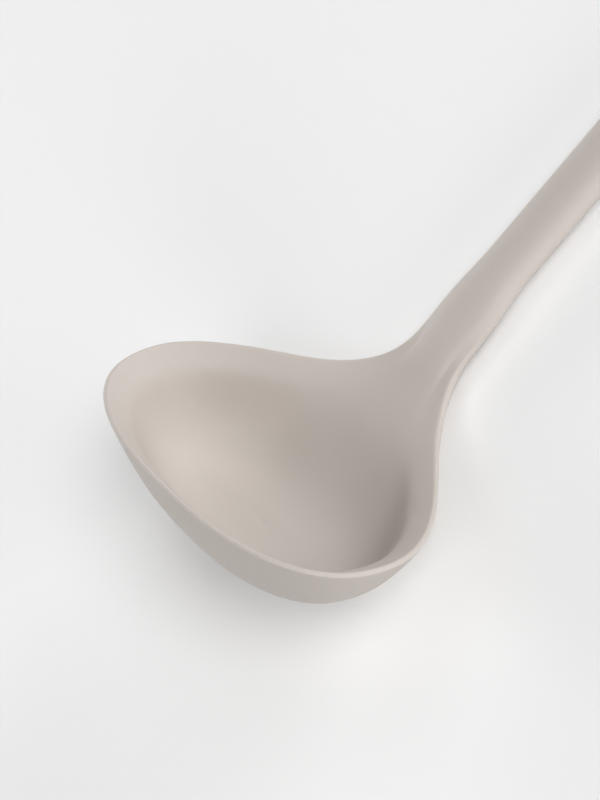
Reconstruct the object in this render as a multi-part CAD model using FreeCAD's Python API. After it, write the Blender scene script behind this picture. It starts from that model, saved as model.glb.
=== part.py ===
"""Soup ladle, moulded in one piece: a wide bowl with two round lobes, a flared neck and an oval handle.

The whole ladle is one smooth skin.  Its shape is worked out in the frame of the rim: X runs across the bowl,
Y from the front edge towards the neck, Z out of the bowl's mouth, and the rim's highest line lies at Z = 0.
Half sections of the wall, each running from the middle of the inside, over the rim, to the middle of the
underside, are set round the front of the bowl and then along the neck.  The skin is drawn through them.
The finished ladle is then laid down as it comes to rest, on its underside and the tip of its handle.
"""
import FreeCAD, Part
import math
import os

Vector = FreeCAD.Vector

# Driving sizes, in millimetres and degrees
SIZES = (
    ("bowl_width", 95.0, "across the bowl at its two lobes"),
    ("bowl_front", 27.9, "from the widest line of the bowl to its front edge"),
    ("front_fullness", 2.35, "2 makes the front an ellipse, more makes it squarer"),
    ("bowl_depth", 26.4, "from the rim down to the underside of the bowl"),
    ("bottom_fullness", 4.0, "2 makes the wall a parabola, more makes it straighter and the bottom flatter"),
    ("keel_back", 3.17, "from the widest line back to the middle of the underside"),
    ("wall", 3.8, "thickness of the bowl"),
    ("rim_thickness", 1.36, "thickness of the rounded rim"),
    ("lip_drop", 7.1, "depth of the bevelled lip inside the rim"),
    ("lip_start", 8.0, "from the widest line to where the lip starts to fade"),
    ("lip_reach", 42.0, "from the widest line to where the lip has faded out along the neck"),
    ("hollow_fullness", 2.0, "2 makes the hollow in the neck a parabola, more makes it flatter inside"),
    ("neck_reach", 80.4, "along the edge, from the widest line to the plain handle"),
    ("neck_width_1", 81.0, "across the neck, a fifth of the way along it"),
    ("neck_width_2", 47.6, "across the neck, two fifths of the way along it"),
    ("neck_width_3", 20.2, "across the neck, three fifths of the way along it"),
    ("neck_width_4", 16.8, "across the neck, four fifths of the way along it"),
    ("bowl_reach", 40.0, "from the widest line to where the bowl has run out under the neck"),
    ("neck_depth", 9.2, "from the rim down to the underside where the bowl has run out"),
    ("bowl_run_out", 1.41, "below 1 the bottom climbs early, above 1 late"),
    ("neck_edge", 3.0, "thickness that the rim grows to along the neck"),
    ("neck_hollow", 2.4, "depth of the hollow in the neck, before it turns into the handle"),
    ("edge_reach", 50.0, "from the widest line to where the rim has grown to its full thickness"),
    ("blend_start", 18.1, "from the widest line to where the section starts to turn into the oval"),
    ("handle_width", 14.1, "across the oval handle"),
    ("handle_thickness", 7.6, "through the oval handle"),
    ("handle_length", 203.0, "from the end of the neck to the tip"),
    ("handle_end", 7.0, "length of the rounded tip"),
    ("handle_angle", 42.4, "between the handle and the rim"),
    ("bend_start", 30.3, "from the widest line to where the edge starts to turn up"),
    ("bend_radius", 24.3, "radius of the turn up into the handle"),
)

# How finely the skin is drawn
INSIDE_STEPS = 5
LIP_STEPS = 2
RIM_STEPS = 4
OUTSIDE_STEPS = 6
FRONT_STEPS = 12
NECK_STEPS = 13
TIP_STEPS = 4

# The rim counts for this much more than its length in how the section's points are spread
RIM_SHARE = 1.6

# How closely the resting tilt is found
REST_STEPS = 400
REST_ACCURACY = 1e-9

doc = FreeCAD.newDocument("Ladle")
sheet = doc.addObject("Spreadsheet::Sheet", "Sizes")
for row, (alias, value, note) in enumerate(SIZES, 1):
    sheet.set(f"A{row}", alias)
    sheet.set(f"B{row}", str(value))
    sheet.set(f"C{row}", note)
    sheet.setAlias(f"B{row}", alias)
doc.recompute()
size = {alias: float(sheet.get(alias)) for alias, value, note in SIZES}

half_bowl = size["bowl_width"] / 2
half_thick = size["handle_thickness"] / 2
rim_radius = size["rim_thickness"] / 2
rim_start = INSIDE_STEPS + LIP_STEPS
rim_end = rim_start + RIM_STEPS
handle_turn = math.radians(size["handle_angle"])
handle_way = Vector(0, math.cos(handle_turn), math.sin(handle_turn))


def spline_poles(values, places, first_slope=None, last_slope=None):
    """Poles of the smooth cubic through values at places; an end without a slope runs out straight."""
    gaps = [b - a for a, b in zip(places, places[1:])]
    chords = [(b - a) / gap for a, b, gap in zip(values, values[1:], gaps)]
    rows = [(0, 2, 1, 3 * chords[0]) if first_slope is None else (0, 1, 0, first_slope)]
    for before, after, chord_before, chord_after in zip(gaps, gaps[1:], chords, chords[1:]):
        rows.append((1 / before, 2 / before + 2 / after, 1 / after,
                     3 * chord_before / before + 3 * chord_after / after))
    rows.append((1, 2, 0, 3 * chords[-1]) if last_slope is None else (0, 1, 0, last_slope))
    solved = []
    for back, here, ahead, target in rows:
        share, rest = solved[-1] if solved else (0, 0)
        pivot = here - back * share
        solved.append((ahead / pivot, (target - back * rest) / pivot))
    slopes = [0]
    for share, rest in reversed(solved):
        slopes.insert(0, rest - share * slopes[0])
    leaving = [value + slope * gap / 3 for value, slope, gap in zip(values, slopes, gaps)]
    arriving = [value - slope * gap / 3 for value, slope, gap in zip(values[1:], slopes[1:], gaps)]
    inner = [a + (b - a) * (places[k + 2] - places[k]) / gaps[k]
             for k, (a, b) in enumerate(zip(leaving[:-1], arriving))]
    return [values[0], leaving[0]] + inner + [arriving[-1], values[-1]]


def clamped(places):
    """How often each place counts as a knot of a cubic that starts at the first and ends at the last."""
    return [4] + [1] * (len(places) - 2) + [4]


def bell(share, skew):
    """Falls smoothly from 1 to 0 while share goes from 0 to 1."""
    return (1 + math.cos(math.pi * min(share, 1) ** skew)) / 2


def ease(run, start, end):
    """Rises from 0 to 1 between two places, without a start or stop in its slope or its bend."""
    share = min(max((run - start) / (end - start), 0), 1)
    return share ** 3 * (10 - 15 * share + 6 * share ** 2)


def wall_section(half_width, depth, aslant, edge_radius, fade=0, shallow=1):
    """Half section of the bowl as (out, up) pairs, from the middle of the inside to the middle outside.

    Outside, the wall slants straight down from the rim and rounds into the bottom.  Inside, a floor of the
    same form rises to the foot of a bevelled lip, a wall's thickness in from the outside.  The more the lip
    fades, the more the inside becomes one plain hollow, and shallow is its share of the full depth.  Where
    a section cuts the wall aslant, the wall and its rim are that many times as wide in it.
    """
    full = size["bottom_fullness"]
    lean = math.atan2(half_width, full * (depth - edge_radius) * aslant)
    top_out = half_width - edge_radius * aslant * (1 - math.cos(lean))
    top_up = -edge_radius * (1 + math.sin(lean))
    down = depth + top_up

    def outside(share):
        return top_out * share, top_up - down * (1 - share ** full)

    lip_foot = (1 - (size["lip_drop"] + top_up) / down) ** (1 / full)
    out, up = outside(lip_foot)
    steep = full * lip_foot ** (full - 1) / top_out
    slant = math.hypot(steep, 1 / down)
    foot_out = out - size["wall"] * aslant * steep / slant
    foot_up = (up + size["wall"] / down / slant) * shallow
    floor_up = (size["wall"] - depth) * shallow
    shares = [k / INSIDE_STEPS for k in range(INSIDE_STEPS + 1)]
    inner = [(foot_out * share, floor_up + (foot_up - floor_up) * share ** full) for share in shares]
    rim_out = half_width - edge_radius * aslant
    lip_rise = math.atan2(-edge_radius - foot_up, (rim_out - foot_out) / aslant)
    hollow_rise = math.atan2(-size["hollow_fullness"] * floor_up, rim_out / aslant)
    start = math.pi / 2 + lip_rise + (hollow_rise - lip_rise) * fade
    angles = [start - (start + lean) * k / RIM_STEPS for k in range(RIM_STEPS + 1)]
    rim = [(rim_out + edge_radius * aslant * math.cos(angle), edge_radius * (math.sin(angle) - 1))
           for angle in angles]
    rim_in, rim_up = rim[0]
    lip = [(foot_out + (rim_in - foot_out) * k / LIP_STEPS, foot_up + (rim_up - foot_up) * k / LIP_STEPS)
           for k in range(1, LIP_STEPS)]
    hollow = [floor_up + (rim_up - floor_up) * (out / rim_in) ** size["hollow_fullness"]
              for out, up in inner + lip]
    inner = [(out, up + (plain - up) * fade) for (out, up), plain in zip(inner + lip, hollow)]
    outer = [outside(1 - k / OUTSIDE_STEPS) for k in range(1, OUTSIDE_STEPS + 1)]
    return inner + rim + outer


def spread(section):
    """Place of each point along a section: 0 in the middle inside, 0.5 on the rim, 1 in the middle outside.

    Points lie as far apart as the root of the distance between them, so that the tight rim has room.
    """
    walked = [0.0]
    for k, (a, b) in enumerate(zip(section, section[1:])):
        weight = RIM_SHARE if rim_start <= k < rim_end else 1
        walked.append(walked[-1] + math.sqrt(math.dist(a, b)) * weight)
    top = walked[rim_start + 1]
    return [there / top / 2 if there <= top else 0.5 + (there - top) / (walked[-1] - top) / 2
            for there in walked]


along = spread(wall_section(half_bowl, size["bowl_depth"], 1, rim_radius))
cuts = [along[0], along[rim_start], along[rim_end], along[-1]]
oval = [(math.sin(math.pi * place), half_thick * math.cos(math.pi * place)) for place in along]


def section_poles(section):
    """Poles of a half section, square to the middle plane at both ends."""
    outs = spline_poles([out for out, up in section], along)
    ups = spline_poles([up for out, up in section], along, 0, 0)
    return list(zip(outs, ups))


def keel_shift(up, depth):
    """How far back the skin is set at this height, so that the deepest point lies behind the lobes."""
    return size["keel_back"] * (min(up, 0) / depth) ** 2


def front_net(angle):
    """Section poles of the bowl's front at an angle from straight ahead."""
    power = size["front_fullness"]
    across = abs(math.sin(angle) / half_bowl) ** power
    ahead = abs(math.cos(angle) / size["bowl_front"]) ** power
    radius = (across + ahead) ** (-1 / power)
    swing = (ahead * math.tan(angle) - across / math.tan(angle)) / (across + ahead) if across * ahead else 0
    poles = section_poles(wall_section(radius, size["bowl_depth"], math.hypot(1, swing), rim_radius))
    return [Vector(out * math.sin(angle), keel_shift(up, size["bowl_depth"]) - out * math.cos(angle), up)
            for out, up in poles]


def edge_line(run):
    """Where the edge has got to, and how far it has turned up, this far behind the bowl's widest line."""
    turn = min(max((run - size["bend_start"]) / size["bend_radius"], 0), handle_turn)
    level = min(run, size["bend_start"])
    past = max(run - size["bend_start"] - size["bend_radius"] * handle_turn, 0)
    bend = Vector(0, size["bend_radius"] * math.sin(turn), size["bend_radius"] * (1 - math.cos(turn)))
    return Vector(0, level, 0) + bend + handle_way * past, turn


def neck_net(run):
    """Section poles this far behind the widest line, where the bowl shape turns into the oval handle."""
    at, turn = edge_line(run)
    outline, slope = neck_outline.getD1(run)
    sink = bell(run / size["bowl_reach"], size["bowl_run_out"])
    depth = size["neck_depth"] + (size["bowl_depth"] - size["neck_depth"]) * sink
    handled = ease(run, size["blend_start"], size["neck_reach"])
    softened = ease(run, size["blend_start"], size["edge_reach"])
    edge_radius = rim_radius + (size["neck_edge"] / 2 - rim_radius) * softened
    shallow = 1 + (size["neck_hollow"] / size["lip_drop"] - 1) * softened
    bowl = wall_section(outline.x, depth, math.hypot(1, slope.x), edge_radius,
                        ease(run, size["lip_start"], size["lip_reach"]), shallow)
    mixed = [(out + (outline.x * wide - out) * handled, up + (thick - up) * handled)
             for (out, up), (wide, thick) in zip(bowl, oval)]
    return [at + Vector(out, keel_shift(up, depth) * sink - up * math.sin(turn), up * math.cos(turn))
            for out, up in section_poles(mixed)]


def faces_of(surface, start, end):
    """Inside, rim and outside of a surface, as faces that meet where the rim begins and ends."""
    faces = []
    for near, far in zip(cuts, cuts[1:]):
        piece = surface.copy()
        piece.segment(near, far, start, end)
        faces.append(piece.toShape())
    return faces


def skin(nets, places, first_slopes, last_slopes):
    """Faces through section curves set at places, with given slopes at the first and the last."""
    columns = []
    for column, first, last in zip(zip(*nets), first_slopes, last_slopes):
        axes = [spline_poles([pole[axis] for pole in column], places, first[axis], last[axis])
                for axis in range(3)]
        columns.append([Vector(*pole) for pole in zip(*axes)])
    surface = Part.BSplineSurface()
    surface.buildFromPolesMultsKnots(columns, clamped(along), clamped(places), along, places,
                                     False, False, 3, 3)
    return faces_of(surface, places[0], places[-1])


def tube(start, end):
    """Faces of straight lines between two section curves."""
    surface = Part.BSplineSurface()
    surface.buildFromPolesMultsKnots([list(pair) for pair in zip(start, end)], clamped(along), [2, 2],
                                     along, [0.0, 1.0], False, False, 3, 1)
    return faces_of(surface, 0.0, 1.0)


def mirrored(net):
    """The same poles on the other side of the middle plane."""
    return [Vector(-pole.x, pole.y, pole.z) for pole in net]


# Outline of the neck, as half its width along the edge
width_names = ("bowl_width", "neck_width_1", "neck_width_2", "neck_width_3", "neck_width_4", "handle_width")
half_widths = [size[name] / 2 for name in width_names]
fifths = [size["neck_reach"] * k / (len(width_names) - 1) for k in range(len(width_names))]
neck_outline = Part.BSplineCurve()
neck_outline.buildFromPolesMultsKnots(
    [Vector(half, 0, 0) for half in spline_poles(half_widths, fifths, 0, 0)], clamped(fifths), fifths, False, 3)

# Front of the bowl, from the left lobe round to the right one
angles = [math.pi * (k / FRONT_STEPS - 0.5) for k in range(FRONT_STEPS + 1)]
front_nets = [front_net(angle) for angle in angles]
left_slopes = [Vector(0, pole.x, 0) for pole in front_nets[0]]
right_slopes = [Vector(0, pole.x, 0) for pole in front_nets[-1]]
front = skin(front_nets, angles, left_slopes, right_slopes)

# Back of the bowl and the neck, the right half and its mirror image
runs = [size["neck_reach"] * k / NECK_STEPS for k in range(NECK_STEPS + 1)]
neck_nets = [neck_net(run) for run in runs]
level_slopes = [Vector(0, 1, 0) for pole in neck_nets[0]]
handle_slopes = [handle_way for pole in neck_nets[-1]]
neck_right = skin(neck_nets, runs, level_slopes, handle_slopes)
neck_left = skin([mirrored(net) for net in neck_nets], runs, level_slopes, handle_slopes)

# Straight oval handle
shaft = handle_way * (size["handle_length"] - size["handle_end"])
shaft_start = neck_nets[-1]
shaft_end = [pole + shaft for pole in shaft_start]
handle_right = tube(shaft_start, shaft_end)
handle_left = tube(mirrored(shaft_start), mirrored(shaft_end))

# Rounded tip of the handle
middle = edge_line(size["neck_reach"])[0] + shaft
tip_angles = [math.pi / 2 * k / TIP_STEPS for k in range(TIP_STEPS + 1)]
tip_nets = [[middle + (pole - middle) * math.cos(angle) + handle_way * size["handle_end"] * math.sin(angle)
             for pole in shaft_end] for angle in tip_angles]
out_slopes = [handle_way * size["handle_end"] for pole in shaft_end]
in_slopes = [middle - pole for pole in shaft_end]
tip_right = skin(tip_nets, tip_angles, out_slopes, in_slopes)
tip_left = skin([mirrored(net) for net in tip_nets], tip_angles, out_slopes, mirrored(in_slopes))

faces = front + neck_right + neck_left + handle_right + handle_left + tip_right + tip_left
shell = Part.Shell(faces)
shell.sewShape()
ladle = doc.addObject("Part::Feature", "ladle")
ladle.Label = "ladle"
ladle.Shape = Part.Solid(shell)


def lowest(tilt):
    """Lowest points of the underside and of the handle's tip when the ladle is tilted back by an angle."""
    up_way = Vector(0, -math.sin(tilt), math.cos(tilt))
    outside = neck_right[-1].Surface
    underside = [outside.value(along[-1], size["neck_reach"] * k / REST_STEPS)
                 for k in range(REST_STEPS + 1)]
    bowl_low = min(point.dot(up_way) for point in underside)
    lengthwise = size["handle_end"] * handle_way.dot(up_way)
    through = half_thick * Vector(0, -handle_way.z, handle_way.y).dot(up_way)
    return bowl_low, middle.dot(up_way) - math.hypot(lengthwise, through)


# Laid down: tilted back until the underside and the tip of the handle touch the table together
least, most = 0, math.pi / 2
while most - least > REST_ACCURACY:
    tilt = (least + most) / 2
    bowl_low, tip_low = lowest(tilt)
    if tip_low > bowl_low:
        least = tilt
    else:
        most = tilt
laid = FreeCAD.Rotation(Vector(1, 0, 0), -math.degrees(tilt))
ladle.Placement = FreeCAD.Placement(Vector(0, 0, 0), laid)
box = ladle.Shape.optimalBoundingBox(False, False)
ladle.Placement = FreeCAD.Placement(Vector(0, -box.Center.y, -box.ZMin), laid)
doc.recompute()

for item in doc.Objects:
    if "Invalid" in item.State or "Error" in item.State:
        raise RuntimeError(f"{item.Label} failed")
if ladle.Shape.isNull() or not ladle.Shape.isValid() or not ladle.Shape.isClosed():
    raise RuntimeError("the ladle is not a closed solid")
box = ladle.Shape.optimalBoundingBox(False, False)
print(f"tilt {math.degrees(tilt):.3f} deg, volume {ladle.Shape.Volume / 1000:.2f} cm3, "
      f"size {box.XLength:.2f} x {box.YLength:.2f} x {box.ZLength:.2f} mm")

os.makedirs("parts", exist_ok=True)
ladle.Shape.exportStep("parts/ladle.step")
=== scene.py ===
"""A soup ladle of matte silicone, lying on a pale table.

The ladle's skin is drawn from its solid, with a crisper lip, and gets its silicone here: fine grain from
the mould, faint mottling and soft gloss.  Soft light from the handle's right and a pale table finish the
picture.
"""
import math

import bmesh
import bpy
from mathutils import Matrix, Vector


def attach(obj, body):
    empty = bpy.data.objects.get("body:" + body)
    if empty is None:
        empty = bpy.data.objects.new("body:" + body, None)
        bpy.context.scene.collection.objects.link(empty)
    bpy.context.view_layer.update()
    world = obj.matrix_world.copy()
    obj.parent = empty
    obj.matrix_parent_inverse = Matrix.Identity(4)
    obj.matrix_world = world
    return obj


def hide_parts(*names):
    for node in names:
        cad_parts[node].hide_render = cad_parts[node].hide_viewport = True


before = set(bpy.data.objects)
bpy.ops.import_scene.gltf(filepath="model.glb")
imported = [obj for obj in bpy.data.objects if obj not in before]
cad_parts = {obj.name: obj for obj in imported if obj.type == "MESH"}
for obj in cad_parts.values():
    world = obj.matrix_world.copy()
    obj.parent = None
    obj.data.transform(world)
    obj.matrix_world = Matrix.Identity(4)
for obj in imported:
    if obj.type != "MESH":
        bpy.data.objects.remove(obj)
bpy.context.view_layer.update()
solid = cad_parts["ladle"]


class Socket:
    """Output of a shader node, which can be used in arithmetic."""

    def __init__(self, tree, output):
        self.tree = tree
        self.output = output

    def math(self, operation, *others):
        """Result of a sum on this socket and other sockets or numbers."""
        node = self.tree.nodes.new("ShaderNodeMath")
        node.operation = operation
        for place, value in enumerate((self, *others)):
            if isinstance(value, Socket):
                self.tree.links.new(value.output, node.inputs[place])
            else:
                node.inputs[place].default_value = value
        return Socket(self.tree, node.outputs[0])

    def __add__(self, other):
        return self.math("ADD", other)

    def __mul__(self, other):
        return self.math("MULTIPLY", other)

    __radd__ = __add__
    __rmul__ = __mul__


class Material:
    """A new material whose nodes are added one at a time."""

    def __init__(self, name):
        self.material = bpy.data.materials.new(name)
        self.material.use_nodes = True
        self.tree = self.material.node_tree
        self.tree.nodes.clear()

    def node(self, kind, output, settings=None, **values):
        """Adds a node; keywords are socket names with underscores, or in_N for the socket at place N."""
        node = self.tree.nodes.new(kind)
        for name, value in (settings or {}).items():
            setattr(node, name, value)
        for name, value in values.items():
            place = int(name[3:]) if name.startswith("in_") else name.replace("_", " ")
            if isinstance(value, Socket):
                self.tree.links.new(value.output, node.inputs[place])
            else:
                node.inputs[place].default_value = value
        return Socket(self.tree, node.outputs[output]) if output is not None else None

    def mix(self, share, first, second):
        """Colour between two colours."""
        return self.node("ShaderNodeMix", 2, {"data_type": "RGBA"}, in_0=share, in_6=first, in_7=second)

    def surface(self, shader):
        """Ends the material with its shader."""
        self.node("ShaderNodeOutputMaterial", None, Surface=shader)
        return self.material


def fade(value, start, end):
    """Smooth step from 0 at start to 1 at end."""
    share = min(max((value - start) / (end - start), 0), 1)
    return share * share * (3 - 2 * share)


def above_zero(value, rounding):
    """The value where it is above zero, else nothing, with a rounded corner between the two."""
    return (value + math.hypot(value, rounding)) / 2


# Ladle: the skin of the solid, with the lower edge of the lip sharpened inside the bowl.  Lengths are in
# metres: depth is measured from the rim, and run from the widest line of the bowl towards the neck
lean = math.radians(43.155)
rim_middle = Vector((0, -0.12336, 0.03410))
along = Vector((0, math.cos(lean), -math.sin(lean)))
outward = Vector((0, math.sin(lean), math.cos(lean)))

# The lip swells a little down to its lower edge.  Below that edge the wall is cut back, less and less steeply
lip_drop = 0.0053
lip_rise = 0.12
corner = 0.0012
wall_slant = 0.26
wall_fade = 120

# The sharpened edge fades out towards the front, into the neck and where the skin turns over the rim
front_end = -0.028
front_full = -0.004
neck_full = 0.008
neck_end = 0.026
neck_curve = 25
rim_turn = 0.2

shortest = 0.00003
skin = bmesh.new()
skin.from_mesh(solid.data)
bmesh.ops.remove_doubles(skin, verts=skin.verts, dist=shortest)
bmesh.ops.dissolve_degenerate(skin, dist=shortest, edges=skin.edges)
skin.normal_update()
heights = {}
for vertex in skin.verts:
    depth = -(vertex.co - rim_middle).dot(outward)
    run = (vertex.co - rim_middle).dot(along)
    lip = (lip_drop - above_zero(lip_drop - max(depth, 0), corner)) * lip_rise
    below = above_zero(depth - lip_drop, corner)
    wall = (1 - math.exp(-wall_fade * below)) * (wall_slant / wall_fade)
    strength = fade(vertex.normal.dot(outward), 0, rim_turn) * fade(run, front_end, front_full)
    into_neck = fade(run - neck_curve * vertex.co.x ** 2, neck_full, neck_end)
    heights[vertex] = (lip - wall) * strength * (1 - into_neck)
for vertex, height in heights.items():
    vertex.co += vertex.normal * height
ladle = bpy.data.objects.new("ladle_skin", bpy.data.meshes.new("ladle_skin"))
skin.to_mesh(ladle.data)
skin.free()
ladle.data.shade_smooth()
bpy.context.collection.objects.link(ladle)
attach(ladle, "root")
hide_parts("ladle")

# Silicone: fine grain from the mould, faint mottling, and gloss that varies a little
silicone = Material("silicone")
place = silicone.node("ShaderNodeTexCoord", "Object")
grain = silicone.node("ShaderNodeTexNoise", 0, Vector=place, Scale=2600.0, Detail=3.0, Roughness=0.6)
mottle = silicone.node("ShaderNodeTexNoise", 0, Vector=place, Scale=55.0, Detail=4.0, Roughness=0.55)
tone = silicone.mix(mottle, (0.495, 0.450, 0.415, 1.0), (0.513, 0.466, 0.429, 1.0))
relief = silicone.node("ShaderNodeBump", 0, Height=grain, Strength=0.1, Distance=0.00012)
ladle.data.materials.append(silicone.surface(silicone.node(
    "ShaderNodeBsdfPrincipled", 0,
    Base_Color=tone,
    Roughness=0.5 + grain * 0.08 + mottle * 0.06,
    Normal=relief,
    Specular_IOR_Level=0.35,
)))

# Table: pale, evenly bright to the camera, with the ladle's soft shadow
bpy.ops.mesh.primitive_plane_add(size=6)
table = bpy.context.object
table.name = "table"
plain = Material("table")
seen = plain.node("ShaderNodeLightPath", "Is Camera Ray")
paper = plain.mix(seen, (0.85, 0.85, 0.85, 1.0), (0.92, 0.92, 0.92, 1.0))
table.data.materials.append(plain.surface(plain.node("ShaderNodeBsdfDiffuse", 0, Color=paper)))

# Light: four soft windows, the strongest at the handle's right, and low reflectors round the table.  Each
# has its strength, and in degrees its height above the table and its bearing from X
lamps = (
    ("window", 1.55, 52, 30),
    ("side window", 0.48, 52, 300),
    ("back window", 0.28, 52, 120),
    ("high window", 0.25, 72, 240),
    ("low reflector 1", 0.84, 8, 30),
    ("low reflector 2", 1.69, 8, 90),
    ("low reflector 3", 0.96, 8, 180),
    ("low reflector 4", 1.52, 8, 210),
    ("low reflector 5", 1.13, 8, 330),
)
softness = math.radians(30)
for name, strength, height, bearing in lamps:
    lamp = bpy.data.lights.new(name, "SUN")
    lamp.energy = strength
    lamp.angle = softness
    hung = bpy.data.objects.new(name, lamp)
    hung.rotation_euler = (0, math.radians(90 - height), math.radians(bearing))
    bpy.context.collection.objects.link(hung)

# Camera
lens = bpy.data.cameras.new("camera")
lens.sensor_fit = "HORIZONTAL"
lens.sensor_width = 36
lens.lens = 90
camera = bpy.data.objects.new("camera", lens)
camera.location = (0.2141, -0.11042, 0.29644)
camera.rotation_euler = (math.radians(27.644), math.radians(29.048), math.radians(47.145))
bpy.context.collection.objects.link(camera)
bpy.context.scene.camera = camera

bpy.context.scene.view_settings.view_transform = "Standard"
